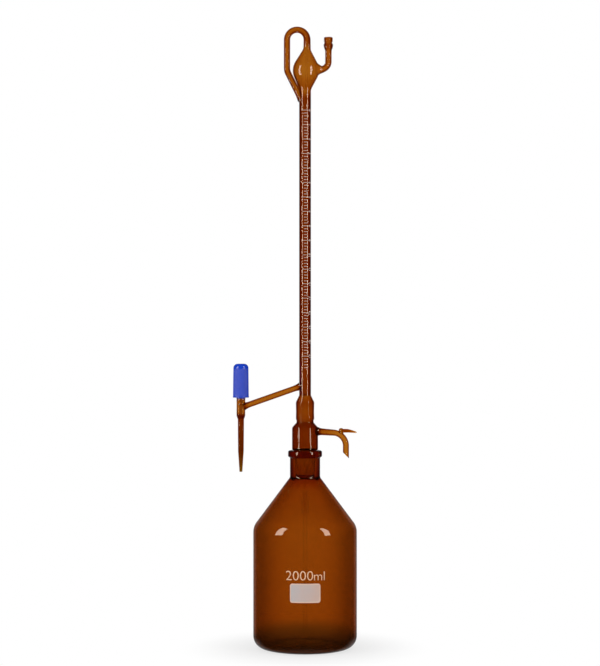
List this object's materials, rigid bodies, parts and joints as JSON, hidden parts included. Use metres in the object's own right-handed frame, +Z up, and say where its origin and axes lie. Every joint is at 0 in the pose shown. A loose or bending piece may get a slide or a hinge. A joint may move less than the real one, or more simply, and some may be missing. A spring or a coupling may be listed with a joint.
{
  "type": "automatic burette",
  "caption": "Amber glass automatic burette with overflow bulb, loop, slanting outlet arm and blue needle-valve knob, seated by a ground cone in a large reservoir bottle.",
  "frame": {"origin": "on the bottle's axis, in the plane of the foot that it stands on", "axes": "+Z up along the bottle and the burette tube, +X towards the pump arm, -X towards the outlet arm and its valve, -Y towards the writing panel"},
  "size_m": [0.1626, 0.1361, 0.8164],
  "materials": {
    "amber_glass": "polished amber glass",
    "enamel": "fired matt enamel",
    "blue_plastic": "glossy",
    "tan_plastic": "turned",
    "clear_glass": "polished",
    "seal_rubber": "matt",
    "silicone": "translucent matt"
  },
  "bodies": {
    "bottle": {"reservoir_bottle": "amber_glass", "writing_panel": "enamel"},
    "dip_tube": {"dip_tube": "clear_glass"},
    "burette": {"riser_coupling": "silicone", "riser_tube": "clear_glass", "head_cone": "amber_glass", "seal_chamber": "amber_glass", "burette_tube": "amber_glass", "overflow_bulb": "amber_glass", "zero_tube": "clear_glass", "loop_tube": "amber_glass", "vent_nozzle": "amber_glass", "outlet_arm": "amber_glass", "valve_barrel": "amber_glass", "outlet_tip": "amber_glass", "valve_bush": "blue_plastic", "pump_arm": "amber_glass", "relief_nipple": "amber_glass", "thumb_rest": "amber_glass"},
    "spindle_seals": {"lower_seal": "seal_rubber", "upper_seal": "seal_rubber"},
    "knob": {"valve_knob": "blue_plastic", "needle_spindle": "tan_plastic"}
  },
  "joints": [
    {"name": "head_lift", "type": "slide", "parent": "bottle", "child": "dip_tube", "axis": [0, 0, 1], "range_m": [0, 0.26]},
    {"name": "head_swivel", "type": "hinge", "parent": "dip_tube", "child": "burette", "pos_m": [0, 0, 0.2592], "axis": [0, 0, 1], "continuous": true},
    {"name": "spindle_travel", "type": "slide", "parent": "burette", "child": "spindle_seals", "axis": [0, 0, 1], "range_m": [0, 0.0026]},
    {"name": "knob_turn", "type": "hinge", "parent": "spindle_seals", "child": "knob", "pos_m": [-0.0843, 0, 0.3287], "axis": [0, 0, 1], "range_deg": [0, 900]}
  ],
  "couplings": [
    {"joint": "spindle_travel", "follows": "knob_turn", "m_per_rad": 0.00015915}
  ]
}
